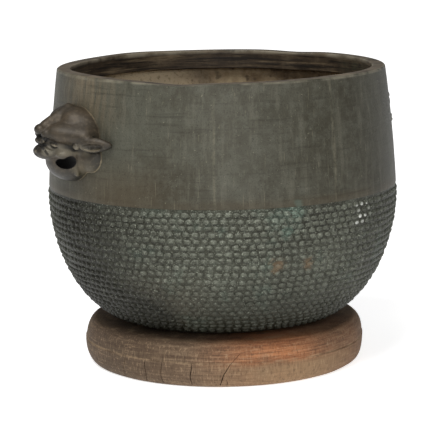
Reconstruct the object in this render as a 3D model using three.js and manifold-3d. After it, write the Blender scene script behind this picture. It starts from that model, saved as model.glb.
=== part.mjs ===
// A cast bronze brazier with two lion-mask handles on a turned wooden stand.
// Millimetres, +Z up. The origin is the centre of the stand's underside, and the masks face -X and +X.
import * as THREE from "three";
import { mergeVertices } from "three/addons/utils/BufferGeometryUtils.js";
import Module from "manifold-3d";

// Wooden stand
const standHeight = 56.5;
const standRadius = 182; // at the arris, its widest line
const standFootRadius = 167;
const standTopRadius = 167; // of the flat that the bowl stands on
const arrisHeight = 31; // from the ground to the widest line
const arrisBevel = 1.2; // worn off along the arris, inwards and upwards

// Bronze bowl, with heights from its own underside
const bowlHeight = 326;
const bellyRadius = 225;
const bellyHeight = 170; // of the widest ring
const mouthRadius = 211; // outside, at the lip
const footRadius = 112; // of the flat underside
const wall = 6;
const lipWidth = 17;
const lipDepth = 25; // of the thickened band under the lip
const lipRounding = 2;
const bossGroundTop = 176; // upper edge of the ground that carries the bosses
const bossGroundDrop = 0.8; // step from the plain band in to that ground
const lipDents = [
  { at: 178, rise: 2.4, spread: 24 },
  { at: -139, rise: -2.4, spread: 9 },
  { at: -80, rise: 1.2, spread: 22 },
  { at: 26, rise: -1.8, spread: 9 },
  { at: 92, rise: 1.4, spread: 14 },
]; // where the hand-worn lip rises or dips: degrees round from +X, height and half-width
const lipDentReach = 45; // how far down the wall the dents die out

// Lion masks
const maskHeight = 98; // crown to jaw
const maskDrop = 80; // from the lip down to the middle of the mask
const mouthTunnelWidth = 17; // outward from the wall
const mouthTunnelHeight = 17;
const mouthTunnelReach = 26.5; // from the wall to the middle of the hole
const mouthTunnelRise = -19.5; // of the middle of the hole, from the mask's centre

// Distances between pieces that touch
const seatGap = 0.3;
const maskGap = 0.3;

// Fineness of the facets
const ringSegments = 56;
const curveSteps = 7;
const maskExtent = [
  [-84, 84],
  [-52, 52],
  [-34, 62],
]; // sideways, up and outward, in hundredths of the mask's height
const maskBack = -30; // flat back before it is cut to the bowl, in the same hundredths
const maskGrid = 3.5; // in the same hundredths
const maskFineness = 0.7; // how far the simplified skin may stray

const wasm = await Module();
wasm.setup();

// A closed geometry as a solid that can be joined and cut.
function solidOf(geometry) {
  const bare = geometry.clone();
  bare.deleteAttribute("normal");
  bare.deleteAttribute("uv");
  const merged = mergeVertices(bare, 1e-4);
  return new wasm.Manifold(
    new wasm.Mesh({
      numProp: 3,
      vertProperties: new Float32Array(merged.attributes.position.array),
      triVerts: new Uint32Array(merged.index.array),
    }),
  );
}

// A solid as a geometry whose triangles share their corners.
function sharedGeometryOf(solid) {
  const mesh = solid.getMesh();
  const position = new Float32Array(mesh.numVert * 3);
  for (let i = 0; i < mesh.numVert; i++) {
    const from = i * mesh.numProp;
    position.set(mesh.vertProperties.subarray(from, from + 3), i * 3);
  }
  const geometry = new THREE.BufferGeometry();
  geometry.setAttribute("position", new THREE.BufferAttribute(position, 3));
  geometry.setIndex(new THREE.BufferAttribute(new Uint32Array(mesh.triVerts), 1));
  geometry.computeVertexNormals();
  return geometry;
}

// Draws every corner a hair inwards along its normal, so that folds which only touch come apart.
function drawnIn(geometry, distance) {
  const position = geometry.attributes.position;
  const normal = geometry.attributes.normal;
  const corner = new THREE.Vector3();
  const inward = new THREE.Vector3();
  for (let i = 0; i < position.count; i++) {
    inward.fromBufferAttribute(normal, i).multiplyScalar(-distance);
    corner.fromBufferAttribute(position, i).add(inward);
    position.setXYZ(i, corner.x, corner.y, corner.z);
  }
  return geometry;
}

// A geometry whose triangles are shaded flat, each with corners of its own.
function faceted(geometry) {
  const facets = geometry.toNonIndexed();
  facets.computeVertexNormals();
  return facets;
}

// The biggest of a solid's separate pieces, without the crumbs that cutting can leave.
function largestPiece(solid) {
  return solid.decompose().reduce((biggest, piece) => (piece.volume() > biggest.volume() ? piece : biggest));
}

// A profile of [radius, height] points, from the axis round to the axis, turned about Z.
function turned(profile) {
  const points = profile.map(([radius, height]) => new THREE.Vector2(radius, height));
  return new THREE.LatheGeometry(points, ringSegments).rotateX(Math.PI / 2);
}

// Evenly spaced shares from 0 to 1, both included.
function shares(count) {
  return Array.from({ length: count + 1 }, (_, i) => i / count);
}

// A quarter round between two points: it leaves `from` along the radius or along the height.
function quarter(from, to, leavesAlongHeight, count) {
  return shares(count).map((share) => {
    const angle = (share * Math.PI) / 2;
    const along = Math.sin(angle);
    const across = 1 - Math.cos(angle);
    const [radial, upward] = leavesAlongHeight ? [across, along] : [along, across];
    return [
      from[0] + (to[0] - from[0]) * radial,
      from[1] + (to[1] - from[1]) * upward,
    ];
  });
}

// The bowl's outside from its flat underside to the lip: a quarter ellipse up to
// the belly, and then a slow draw inwards to the mouth.
function outsideOfBowl() {
  const lower = quarter([footRadius, 0], [bellyRadius, bellyHeight], false, curveSteps);
  const upperHeight = bowlHeight - lipRounding - bellyHeight;
  const upper = shares(Math.ceil(curveSteps / 2))
    .slice(1)
    .map((share) => [wallRadius(bellyHeight + upperHeight * share), bellyHeight + upperHeight * share]);
  return [...lower, ...upper];
}

// The plain outside radius at a height above the bowl's underside.
function wallRadius(height) {
  if (height < bellyHeight) {
    const below = 1 - height / bellyHeight;
    return footRadius + (bellyRadius - footRadius) * Math.sqrt(1 - below * below);
  }
  const above = (height - bellyHeight) / (bowlHeight - bellyHeight);
  return bellyRadius - (bellyRadius - mouthRadius) * above ** 1.5;
}

// The outside with the ground of the bosses set back by its small step.
function steppedOutside() {
  const plain = outsideOfBowl();
  const ground = plain
    .filter(([, height]) => height > 0 && height < bossGroundTop - bossGroundDrop)
    .map(([radius, height]) => [radius - bossGroundDrop, height]);
  const band = plain.filter(([, height]) => height > bossGroundTop);
  return [
    [footRadius - bossGroundDrop, 0],
    ...ground,
    [wallRadius(bossGroundTop) - bossGroundDrop, bossGroundTop - bossGroundDrop],
    [wallRadius(bossGroundTop), bossGroundTop],
    ...band,
  ];
}

// The inside, one wall thickness in from the outside, from under the lip down to the floor.
function insideOfBowl() {
  const outside = outsideOfBowl();
  const inner = outside.map(([radius, height], i) => {
    const before = outside[Math.max(i - 1, 0)];
    const after = outside[Math.min(i + 1, outside.length - 1)];
    const tangent = new THREE.Vector2(after[0] - before[0], after[1] - before[1]).normalize();
    if (i === 0) tangent.set(1, 0);
    return [radius - tangent.y * wall, height + tangent.x * wall];
  });
  const underLip = bowlHeight - lipDepth;
  return inner.filter(([, height]) => height < underLip - wall / 2).reverse();
}

function bowlProfile() {
  const lipInside = mouthRadius - lipWidth;
  const underLip = bowlHeight - lipDepth;
  const outerCorner = quarter(
    [wallRadius(bowlHeight - lipRounding), bowlHeight - lipRounding],
    [mouthRadius - lipRounding, bowlHeight],
    true,
    2,
  ).slice(1);
  const innerCorner = quarter(
    [lipInside + lipRounding, bowlHeight],
    [lipInside, bowlHeight - lipRounding],
    false,
    2,
  );
  return [
    [0, 0],
    ...steppedOutside(),
    ...outerCorner,
    ...innerCorner,
    [lipInside, underLip],
    [wallRadius(underLip) - wall, underLip],
    ...insideOfBowl(),
    [0, wall],
  ];
}

// How far the worn lip stands above or below its level at an angle round the mouth, in radians.
function lipWave(angle) {
  return lipDents.reduce((total, { at, rise, spread }) => {
    const turn = angle - THREE.MathUtils.degToRad(at);
    const apart = Math.atan2(Math.sin(turn), Math.cos(turn)) / THREE.MathUtils.degToRad(spread);
    return total + rise * Math.exp(-apart * apart);
  }, 0);
}

// Lifts or lowers the lip of the bowl at its dents, which die out down the wall.
function waveLip(geometry) {
  const position = geometry.attributes.position;
  const point = new THREE.Vector3();
  for (let i = 0; i < position.count; i++) {
    point.fromBufferAttribute(position, i);
    const fade = THREE.MathUtils.smoothstep(point.z, bowlHeight - lipDentReach, bowlHeight);
    // Rounded, so that the first and the repeated last column of the turned shape move alike.
    const angle = Math.round(Math.atan2(point.y, point.x) * 1e4) / 1e4;
    position.setZ(i, point.z + fade * lipWave(angle));
  }
  return geometry;
}

function bowlGeometry() {
  return faceted(sharedGeometryOf(solidOf(waveLip(turned(bowlProfile())))));
}

function standProfile() {
  const lower = quarter([standFootRadius, 0], [standRadius, arrisHeight], false, 4);
  const shoulder = quarter(
    [standRadius - arrisBevel, arrisHeight + arrisBevel],
    [standTopRadius, standHeight],
    true,
    5,
  );
  return [[0, 0], ...lower, ...shoulder, [0, standHeight]];
}

// The forms of a lion mask, in hundredths of its height: [sideways, up, outward from the wall].
// `roll`, `pitch` and `yaw` are degrees: leaned over, outward end tipped down, turned from the middle.
// The face is the same on both sides, so each form off the middle stands for a pair.
// `blend` is how softly a form runs into those before it.
const maskForms = [
  { name: "skull", centre: [0, 4, -22], radii: [54, 40, 34], blend: 0 },
  { name: "brow", centre: [22, 20, -3], radii: [34, 21, 25], roll: -38, pitch: 12, blend: 5 },
  { name: "brow front", centre: [14, 19, 16], radii: [15, 13, 22], roll: -30, pitch: 25, yaw: 10, blend: 8 },
  { name: "brow edge", from: [11, 15.5, 38.5], to: [43, 10, 13], radius: 8, blend: 12 },
  { name: "forehead", centre: [0, 25, 17], radii: [15, 14, 27], pitch: 35, blend: 5 },
  { name: "nose", from: [0, 44, 9], to: [0, 26, 42], radius: 6.5, blend: 6 },
  { name: "nose tip", centre: [0, 21, 49], radii: [8, 7, 8], blend: 3 },
  { name: "nostril", centre: [9, 16, 43], radii: [6, 6.5, 9], pitch: 10, yaw: -10, blend: 2.5 },
  { name: "muzzle", centre: [0, -1, 24], radii: [26, 17, 23], blend: 3 },
  { name: "upper bulb", centre: [0, 7, 44], radii: [14, 6, 11], blend: 2 },
  { name: "lower bulb", centre: [0, -7, 41], radii: [20, 10.5, 16], blend: 2 },
  { name: "upper jaw", centre: [22, -9, 14], radii: [13, 9, 28], yaw: 12, blend: 8 },
  { name: "lower jaw", centre: [0, -20, 3.5], radii: [36, 28.5, 34.5], blend: 6 },
  { name: "cheek", centre: [37, -15.5, -8], radii: [20, 20.5, 20], blend: 6 },
  { name: "strap", from: [31, -13, 15], to: [27, -36, 11], radius: 2.7, blend: 2.5 },
  { name: "eye", centre: [16, 2, 39.5], radii: [5.5, 3, 5], roll: -15, yaw: 30, blend: 1 },
  { name: "ear", centre: [57, 3.5, 7], radii: [20, 9.5, 6], yaw: 39, blend: 6 },
  { name: "ear tip", centre: [68, 3, -3], radii: [10, 5, 4], yaw: 39, blend: 4 },
  { name: "ear hollow", centre: [61, 2, 10], radii: [14, 4, 4], roll: 5, yaw: 39, blend: 2, cut: true },
  { name: "curl", centre: [42, 1.5, 20], radii: [4.2, 4.2, 4.2], blend: 1 },
];

// The smaller of two distances, rounded off where they are nearly the same.
function blendedMin(a, b, blend) {
  const overlap = Math.max(blend - Math.abs(a - b), 0);
  return Math.min(a, b) - (overlap > 0 ? (overlap * overlap) / (4 * blend) : 0);
}

// About how far a point is from an egg-shaped form; negative inside it.
function distanceToEgg(point, { centre, radii, roll = 0, pitch = 0, yaw = 0 }) {
  const turn = new THREE.Euler(
    THREE.MathUtils.degToRad(-pitch),
    THREE.MathUtils.degToRad(-yaw),
    THREE.MathUtils.degToRad(-roll),
    "ZXY",
  );
  const local = point.clone().sub(new THREE.Vector3(...centre)).applyEuler(turn);
  const size = new THREE.Vector3(...radii);
  const reach = local.clone().divide(size);
  const slope = reach.clone().divide(size).length();
  return (reach.length() * (reach.length() - 1)) / Math.max(slope, 1e-6);
}

// How far a point is from a round bar; negative inside it.
function distanceToBar(point, { from, to, radius }) {
  const bar = new THREE.Line3(new THREE.Vector3(...from), new THREE.Vector3(...to));
  return bar.closestPointToPoint(point, true, new THREE.Vector3()).distanceTo(point) - radius;
}

// How far a point, in hundredths of the mask's height, is outside the lion's face.
function distanceToFace(x, y, z) {
  const point = new THREE.Vector3(Math.abs(x), y, z);
  const outside = maskForms.reduce((nearest, form) => {
    const distance = form.radii ? distanceToEgg(point, form) : distanceToBar(point, form);
    if (form.cut) return -blendedMin(-nearest, distance, form.blend);
    return blendedMin(nearest, distance, form.blend);
  }, Infinity);
  return Math.max(outside, maskBack - z);
}

// The face as a closed skin: one vertex in every grid cell that the surface passes
// through, and one four-sided facet across every grid edge that it crosses.
function faceGeometry() {
  const low = maskExtent.map(([from]) => from);
  const counts = maskExtent.map(([from, to]) => Math.ceil((to - from) / maskGrid));
  const [nx, ny, nz] = counts;
  const cornerIndex = (i, j, k) => (i * (ny + 1) + j) * (nz + 1) + k;
  const values = new Float64Array((nx + 1) * (ny + 1) * (nz + 1));
  const cellVertex = new Map();
  const positions = [];
  const triangles = [];
  for (let i = 0; i <= nx; i++) {
    for (let j = 0; j <= ny; j++) {
      for (let k = 0; k <= nz; k++) {
        const at = [i, j, k].map((step, axis) => low[axis] + step * maskGrid);
        values[cornerIndex(i, j, k)] = distanceToFace(...at);
      }
    }
  }
  const corners = [0, 1, 2, 3, 4, 5, 6, 7].map((bits) => [bits & 1, (bits >> 1) & 1, (bits >> 2) & 1]);
  const edges = corners.flatMap((corner, a) =>
    [1, 2, 4].filter((bit) => !(a & bit)).map((bit) => [corner, corners[a | bit]]),
  );
  for (let i = 0; i < nx; i++) {
    for (let j = 0; j < ny; j++) {
      for (let k = 0; k < nz; k++) {
        const sum = new THREE.Vector3();
        let crossings = 0;
        for (const [a, b] of edges) {
          const va = values[cornerIndex(i + a[0], j + a[1], k + a[2])];
          const vb = values[cornerIndex(i + b[0], j + b[1], k + b[2])];
          if (va < 0 === vb < 0) continue;
          const share = va / (va - vb);
          sum.add(new THREE.Vector3(...a).lerp(new THREE.Vector3(...b), share));
          crossings++;
        }
        if (crossings === 0) continue;
        sum.divideScalar(crossings);
        cellVertex.set(cornerIndex(i, j, k), positions.length / 3);
        positions.push(
          low[0] + (i + sum.x) * maskGrid,
          low[1] + (j + sum.y) * maskGrid,
          low[2] + (k + sum.z) * maskGrid,
        );
      }
    }
  }
  const steps = [
    [1, 0, 0],
    [0, 1, 0],
    [0, 0, 1],
  ];
  for (let i = 1; i < nx; i++) {
    for (let j = 1; j < ny; j++) {
      for (let k = 1; k < nz; k++) {
        steps.forEach((step, axis) => {
          const inside = values[cornerIndex(i, j, k)] < 0;
          const beyond = values[cornerIndex(i + step[0], j + step[1], k + step[2])] < 0;
          if (inside === beyond) return;
          const u = steps[(axis + 1) % 3];
          const v = steps[(axis + 2) % 3];
          const ring = [
            cornerIndex(i - u[0] - v[0], j - u[1] - v[1], k - u[2] - v[2]),
            cornerIndex(i - v[0], j - v[1], k - v[2]),
            cornerIndex(i, j, k),
            cornerIndex(i - u[0], j - u[1], k - u[2]),
          ].map((cell) => cellVertex.get(cell));
          if (beyond) ring.reverse();
          triangles.push(ring[0], ring[1], ring[2], ring[0], ring[2], ring[3]);
        });
      }
    }
  }
  const geometry = new THREE.BufferGeometry();
  geometry.setAttribute("position", new THREE.Float32BufferAttribute(positions, 3));
  geometry.setIndex(triangles);
  return geometry;
}

// The middle of a mask above the bowl's underside.
const maskCentreHeight = bowlHeight - maskDrop;

// From the mask's own directions to its place on the -X side of the bowl:
// sideways becomes -Y, up stays up and outward becomes -X.
function maskPlacing() {
  const placing = new THREE.Matrix4().makeBasis(
    new THREE.Vector3(0, -1, 0),
    new THREE.Vector3(0, 0, 1),
    new THREE.Vector3(-1, 0, 0),
  );
  return placing.setPosition(-wallRadius(maskCentreHeight), 0, maskCentreHeight);
}

// The hole that runs sideways through the lion's mouth, for a ring.
function mouthTunnel() {
  const tunnel = new THREE.CylinderGeometry(1, 1, maskHeight * 2, 24).rotateZ(Math.PI / 2);
  tunnel.scale(1, mouthTunnelHeight / 2, mouthTunnelWidth / 2);
  tunnel.translate(0, mouthTunnelRise, mouthTunnelReach);
  return solidOf(tunnel.applyMatrix4(maskPlacing()));
}

// The space that the bowl takes, grown by the gap that the masks keep to it.
function bowlSpace() {
  const outside = outsideOfBowl().map(([radius, height]) => [radius + maskGap, height]);
  const top = [outside[outside.length - 1][0], bowlHeight + maskHeight];
  return solidOf(turned([[0, 0], ...outside, top, [0, top[1]]]));
}

function maskGeometry() {
  const face = faceGeometry().scale(maskHeight / 100, maskHeight / 100, maskHeight / 100);
  const skin = solidOf(face.applyMatrix4(maskPlacing())).simplify(maskFineness);
  const cut = skin.subtract(mouthTunnel()).subtract(bowlSpace());
  return faceted(drawnIn(sharedGeometryOf(largestPiece(cut.simplify(maskGap / 3))), maskGap / 10));
}

const patinatedBronze = new THREE.MeshStandardMaterial({ color: 0x4b4c42, roughness: 0.55, metalness: 0.6 });
const brownBronze = new THREE.MeshStandardMaterial({ color: 0x5a5147, roughness: 0.45, metalness: 0.6 });
const weatheredWood = new THREE.MeshStandardMaterial({ color: 0x8a6a52, roughness: 0.85, metalness: 0 });

function namedMesh(name, geometry, material) {
  const mesh = new THREE.Mesh(geometry, material);
  mesh.name = name;
  return mesh;
}

const hibachi = new THREE.Group();

const stand = namedMesh("stand", turned(standProfile()), weatheredWood);
hibachi.add(stand);

const vessel = new THREE.Group();
vessel.position.z = standHeight + seatGap;
hibachi.add(vessel);

vessel.add(namedMesh("bowl", bowlGeometry(), patinatedBronze));

const mask = maskGeometry();
const leftMask = namedMesh("lion_mask_left", mask, brownBronze);
const rightMask = namedMesh("lion_mask_right", mask, brownBronze);
rightMask.rotation.z = Math.PI;
vessel.add(leftMask, rightMask);

export default hibachi;
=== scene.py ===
"""The looks of a cast bronze hibachi with two lion masks on a turned wooden stand, in metres."""

import math
import random

import bpy
import numpy as np
from mathutils import Matrix, Vector


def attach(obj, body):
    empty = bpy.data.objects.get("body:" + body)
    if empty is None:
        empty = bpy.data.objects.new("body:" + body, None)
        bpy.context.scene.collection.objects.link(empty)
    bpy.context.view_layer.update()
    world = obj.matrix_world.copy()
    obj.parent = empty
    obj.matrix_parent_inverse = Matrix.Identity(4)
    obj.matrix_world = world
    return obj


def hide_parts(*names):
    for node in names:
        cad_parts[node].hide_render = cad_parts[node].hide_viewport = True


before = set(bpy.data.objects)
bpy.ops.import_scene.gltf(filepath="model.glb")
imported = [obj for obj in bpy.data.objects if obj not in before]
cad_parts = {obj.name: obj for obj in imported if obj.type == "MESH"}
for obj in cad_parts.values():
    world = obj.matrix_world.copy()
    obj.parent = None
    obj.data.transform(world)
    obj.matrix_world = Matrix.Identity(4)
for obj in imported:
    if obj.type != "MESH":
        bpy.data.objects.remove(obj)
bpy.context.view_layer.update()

MM = 0.001

# Wooden stand
STAND_HEIGHT = 56.5 * MM
STAND_RADIUS = 182 * MM
STAND_FOOT_RADIUS = 167 * MM
STAND_TOP_RADIUS = 167 * MM
ARRIS_HEIGHT = 31 * MM
ARRIS_BEVEL = 1.2 * MM
STAND_SIDE_FULLNESS = 2.33  # of the side below the arris: 2 is an ellipse, more is squarer

# Bronze bowl, with heights from its own underside, which is SEAT above the ground
SEAT = STAND_HEIGHT + 0.3 * MM
BOWL_HEIGHT = 326 * MM
BELLY_RADIUS = 225 * MM
BELLY_HEIGHT = 170 * MM
MOUTH_RADIUS = 211 * MM
FOOT_RADIUS = 112 * MM
WALL = 6 * MM
LIP_WIDTH = 17 * MM
LIP_DEPTH = 25 * MM
LIP_ROUNDING = 1.6 * MM
BOSS_GROUND_TOP = 176 * MM
BOSS_GROUND_DROP = 0.8 * MM
WALL_SWELL = 0.28 * MM
FLAT_SHADED_FROM = math.radians(38)

# Where the hand-worn lip rises or dips: degrees round from +X, height and half-width in degrees
LIP_DENTS = [(178, 2.4, 24), (-139, -2.4, 9), (-80, 1.2, 22), (26, -1.8, 9), (92, 1.4, 14)]
LIP_DENT_REACH = 45 * MM

# Drying cracks in the stand's side, as runs of (degrees round from +X, height, width)
CRACKS = [
    [(-167.2, 35.7, 0.3), (-168.0, 26, 1.3), (-169.6, 14, 1.2), (-169.9, 2, 0.8)],
    [(-156.9, 36.4, 0.3), (-157.9, 25, 1.5), (-157.4, 14, 1.5), (-158.1, 2, 1.0)],
    [(-149.6, 36.4, 0.3), (-149.9, 27, 1.1), (-150.6, 15, 1.3), (-150.1, 3, 0.9)],
    [(-137.5, 34.1, 0.3), (-137.3, 26, 1.2), (-138.0, 16, 1.3), (-137.6, 4, 0.8)],
    [(-116.8, 47.5, 0.3), (-118.6, 43, 1.0), (-122.2, 31, 1.5), (-124.6, 19, 1.7), (-126.2, 4, 1.2)],
    [(-123.9, 12, 0.3), (-123.2, 8, 0.9), (-123.6, 2, 0.8)],
    [(163.0, 33.0, 0.4), (162.4, 24, 1.6), (163.2, 13, 0.6)],
    [(70.5, 36.0, 0.3), (71.2, 22, 1.3), (70.4, 6, 0.9)],
    [(12.0, 35.0, 0.3), (11.3, 24, 1.1), (12.3, 8, 0.8)],
]
CRACK_DEPTH = 3 * MM

# Bosses: their foot's width and height on the wall, how far they stand out and sink in, and their
# spacing in a row. The rows are spaced along the wall, in millimetres, from the top row down.
BOSS_WIDTH = 11.2 * MM
BOSS_TALL = 8.0 * MM
BOSS_RISE = 2.7 * MM
BOSS_SINK = 0.35 * MM
BOSS_PITCH = 10.45 * MM
FIRST_ROW_DROP = 7.6 * MM
ROW_STEPS = [8.3, 7.8, 7.9, 8.1, 8.2, 8.8, 9.0, 9.5, 9.1, 9.5, 8.7]
ROW_STEPS += [8.3, 8.6, 9.1, 8.8, 8.0, 8.9, 9.0, 9.4, 9.0, 8.8]

# Lion masks
MASK_UNIT = 98 * MM / 100
MASK_CENTRE_HEIGHT = 246 * MM
MASK_GAP = 0.3 * MM
TUNNEL_WIDTH = 17 * MM
TUNNEL_HEIGHT = 17 * MM
TUNNEL_REACH = 26.5 * MM
TUNNEL_RISE = -19.5 * MM


# Blender's tools, used as by hand


def start_fresh():
    """Nothing is selected when a new piece begins."""
    if bpy.context.object and bpy.context.object.mode != "OBJECT":
        bpy.ops.object.mode_set(mode="OBJECT")
    bpy.ops.object.select_all(action="DESELECT")


def take(piece):
    """Makes one piece the selected and active one."""
    start_fresh()
    piece.select_set(True)
    bpy.context.view_layer.objects.active = piece


def new_piece(name):
    """Names the primitive that was just added."""
    piece = bpy.context.active_object
    piece.name = name
    piece.data.name = name
    return piece


def settle(piece):
    """Puts a piece's place, turn and size into its mesh."""
    take(piece)
    bpy.ops.object.transform_apply(location=True, rotation=True, scale=True)


def finish_with(piece, kind, **settings):
    """Adds a modifier and applies it."""
    take(piece)
    modifier = piece.modifiers.new(kind.title(), kind)
    for key, value in settings.items():
        setattr(modifier, key, value)
    bpy.ops.object.modifier_apply(modifier=modifier.name)


def corners_of(piece):
    """A piece's vertices as an array."""
    places = np.empty(len(piece.data.vertices) * 3)
    piece.data.vertices.foreach_get("co", places)
    return places.reshape(-1, 3)


def set_corners(piece, places):
    piece.data.vertices.foreach_set("co", places.ravel())
    piece.data.update()


def give_attribute(piece, name, values):
    """Stores one number for each vertex, for a material to read."""
    attribute = piece.data.attributes.new(name, "FLOAT", "POINT")
    attribute.data.foreach_set("value", np.asarray(values, dtype=np.float32))


def dress(piece, *finishes):
    piece.data.materials.clear()
    for finish in finishes:
        piece.data.materials.append(finish)


def turned(name, profile, steps):
    """A profile of (radius, height) points from the axis round to the axis, spun about it."""
    start_fresh()
    bpy.ops.mesh.primitive_circle_add(vertices=len(profile), radius=1)
    piece = new_piece(name)
    for corner, (radius, height) in zip(piece.data.vertices, profile):
        corner.co = (radius, 0, height)
    ends = {0, len(profile) - 1}
    bpy.ops.object.mode_set(mode="EDIT")
    bpy.ops.mesh.select_mode(type="EDGE")
    bpy.ops.mesh.select_all(action="DESELECT")
    bpy.ops.object.mode_set(mode="OBJECT")
    for edge in piece.data.edges:
        edge.select = set(edge.vertices) == ends
    bpy.ops.object.mode_set(mode="EDIT")
    bpy.ops.mesh.delete(type="EDGE_FACE")
    bpy.ops.mesh.select_mode(type="VERT")
    bpy.ops.mesh.select_all(action="SELECT")
    bpy.ops.mesh.spin(steps=steps, angle=2 * math.pi, center=(0, 0, 0), axis=(0, 0, 1))
    bpy.ops.mesh.select_all(action="SELECT")
    bpy.ops.mesh.remove_doubles(threshold=1e-6)
    bpy.ops.mesh.normals_make_consistent(inside=False)
    bpy.ops.object.mode_set(mode="OBJECT")
    bpy.ops.object.shade_smooth_by_angle(angle=FLAT_SHADED_FROM)
    return piece


# Shader maths


class Value:
    """A shader socket that takes part in Python arithmetic."""

    def __init__(self, finish, socket):
        self.finish = finish
        self.socket = socket

    def math(self, operation, *others):
        inputs = dict(enumerate((self, *others)))
        return self.finish.node("ShaderNodeMath", {"operation": operation}, inputs)

    def swapped(self, operation, other):
        return self.finish.node("ShaderNodeMath", {"operation": operation}, {0: other, 1: self})

    def __add__(self, other):
        return self.math("ADD", other)

    def __radd__(self, other):
        return self.math("ADD", other)

    def __sub__(self, other):
        return self.math("SUBTRACT", other)

    def __rsub__(self, other):
        return self.swapped("SUBTRACT", other)

    def __mul__(self, other):
        return self.math("MULTIPLY", other)

    def __rmul__(self, other):
        return self.math("MULTIPLY", other)

    def __pow__(self, other):
        return self.math("POWER", other)

    def __abs__(self):
        return self.math("ABSOLUTE")

    def most(self, other):
        return self.math("MAXIMUM", other)

    def between(self, low, high):
        """0 below `low`, 1 above `high` and smooth between them."""
        inputs = {"Value": self, "From Min": low, "From Max": high}
        return self.finish.node("ShaderNodeMapRange", {"interpolation_type": "SMOOTHSTEP"}, inputs)


class Finish:
    """A procedural material, built node by node."""

    def __init__(self, name):
        self.material = bpy.data.materials.new(name)
        self.material.use_nodes = True
        self.tree = self.material.node_tree
        self.shader = self.tree.nodes["Principled BSDF"]
        self.place = self.node("ShaderNodeTexCoord", {}, {}, "Object")
        apart = self.node("ShaderNodeSeparateXYZ", {}, {"Vector": self.place}, None)
        self.x, self.y, self.z = (Value(self, apart.outputs[axis]) for axis in "XYZ")

    def node(self, kind, settings, inputs, output=0):
        """Adds a node and gives one of its outputs, or the node itself where `output` is None.

        A ramp's stops are (place, colour) pairs.
        """
        node = self.tree.nodes.new(kind)
        for key, value in settings.items():
            if key == "stops":
                ramp = node.color_ramp.elements
                while len(ramp) < len(value):
                    ramp.new(0.5)
                for element, (at, colour) in zip(ramp, value):
                    element.position = at
                    element.color = (*colour, 1)
            else:
                setattr(node, key, value)
        for key, value in inputs.items():
            if isinstance(value, Value):
                self.tree.links.new(value.socket, node.inputs[key])
            else:
                node.inputs[key].default_value = value
        return node if output is None else Value(self, node.outputs[output])

    def scaled(self, x, y, z, shift=(0, 0, 0)):
        """Object coordinates, stretched and shifted for a texture."""
        inputs = {"Vector": self.place, "Scale": (x, y, z), "Location": shift}
        return self.node("ShaderNodeMapping", {}, inputs)

    def noise(self, scale, detail=4.0, roughness=0.55, at=None):
        inputs = {"Vector": at or self.place, "Scale": scale, "Detail": detail, "Roughness": roughness}
        return self.node("ShaderNodeTexNoise", {}, inputs)

    def attribute(self, name):
        return self.node("ShaderNodeAttribute", {"attribute_name": name}, {}, "Fac")

    def ramp(self, factor, *stops):
        return self.node("ShaderNodeValToRGB", {"stops": stops}, {"Fac": factor})

    def mix(self, factor, first, second, blend="MIX"):
        """Colours mixed by a factor."""
        node = self.node("ShaderNodeMix", {"data_type": "RGBA", "blend_type": blend}, {0: factor}, None)
        for index, value in ((6, first), (7, second)):
            if isinstance(value, Value):
                self.tree.links.new(value.socket, node.inputs[index])
            else:
                node.inputs[index].default_value = (*value, 1)
        return Value(self, node.outputs[2])

    def angle(self):
        """Degrees round the axis from +X."""
        return self.y.math("ARCTAN2", self.x) * (180 / math.pi)

    def near_angle(self, at, spread):
        """1 at an angle round the axis, fading to 0 within a spread of degrees."""
        turned_from = Vector((math.cos(math.radians(at)), math.sin(math.radians(at)), 0))
        along = self.x * turned_from.x + self.y * turned_from.y
        across = self.x * -turned_from.y + self.y * turned_from.x
        off = abs(across.math("ARCTAN2", along)) * (180 / math.pi)
        return 1 - off.between(0, spread)

    def patch(self, at, height, reach):
        """1 round a spot on the bowl's wall, fading raggedly to 0 within a reach."""
        radius = float(wall_radius(height - SEAT))
        spot = (radius * math.cos(math.radians(at)), radius * math.sin(math.radians(at)), height)
        ends = {0: self.place, 1: spot}
        apart = self.node("ShaderNodeVectorMath", {"operation": "DISTANCE"}, ends, "Value")
        ragged = apart + (self.noise(120, 4, 0.7) - 0.5) * (reach * 2.2)
        return 1 - ragged.between(reach * 0.3, reach)

    def relief(self, height, distance, strength=1.0):
        """Feeds a height into the shader's normal."""
        inputs = {"Height": height, "Distance": distance, "Strength": strength}
        bump = self.node("ShaderNodeBump", {}, inputs)
        self.tree.links.new(bump.socket, self.shader.inputs["Normal"])

    def surface(self, **channels):
        """Sets the shader's own sockets by value or by link."""
        for name, value in channels.items():
            socket = self.shader.inputs[name.replace("_", " ")]
            if isinstance(value, Value):
                self.tree.links.new(value.socket, socket)
            else:
                socket.default_value = value
        return self.material


def tint(red, green, blue):
    """A colour given as it looks on screen, 0 to 255, as the shader needs it."""
    shares = [channel / 255 for channel in (red, green, blue)]
    return tuple(s / 12.92 if s <= 0.04045 else ((s + 0.055) / 1.055) ** 2.4 for s in shares)


# Finishes


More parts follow.
